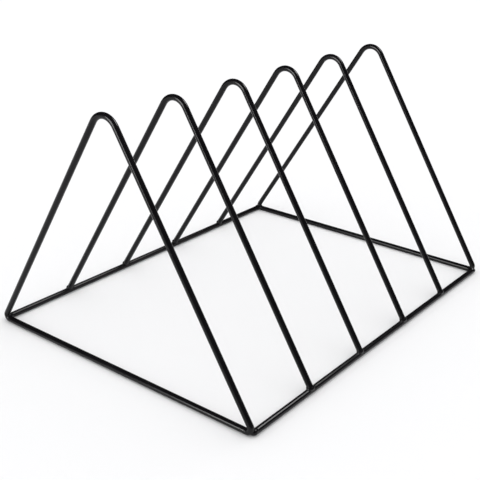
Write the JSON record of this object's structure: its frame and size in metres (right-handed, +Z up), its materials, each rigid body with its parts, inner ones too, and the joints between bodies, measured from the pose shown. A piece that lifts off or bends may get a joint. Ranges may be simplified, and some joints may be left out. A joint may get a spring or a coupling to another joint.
{
  "type": "photo album stand",
  "caption": "Welded wire stand that keeps photo albums upright in a row of open bays between bent triangular dividers.",
  "frame": {"origin": "on the table, at the middle of the stand's footprint", "axes": "+Y runs along the side rails from the front triangle to the back one, +X across the stand to its right rail, +Z up"},
  "size_m": [0.2318, 0.3042, 0.174],
  "materials": {
    "coated_wire": "semi-gloss black powder coat on steel wire",
    "coated_weld": "semi-gloss black powder coat over a weld nugget"
  },
  "bodies": {
    "root": {"end_frame_front": "coated_wire", "end_frame_back": "coated_wire", "divider_1": "coated_wire", "divider_2": "coated_wire", "divider_3": "coated_wire", "divider_4": "coated_wire", "side_rail_left": "coated_wire", "side_rail_right": "coated_wire", "foot_weld_1_left": "coated_weld", "foot_weld_1_right": "coated_weld", "foot_weld_2_left": "coated_weld", "foot_weld_2_right": "coated_weld", "foot_weld_3_left": "coated_weld", "foot_weld_3_right": "coated_weld", "foot_weld_4_left": "coated_weld", "foot_weld_4_right": "coated_weld", "corner_weld_front_left": "coated_weld", "corner_weld_front_right": "coated_weld", "corner_weld_back_left": "coated_weld", "corner_weld_back_right": "coated_weld"}
  },
  "joints": []
}
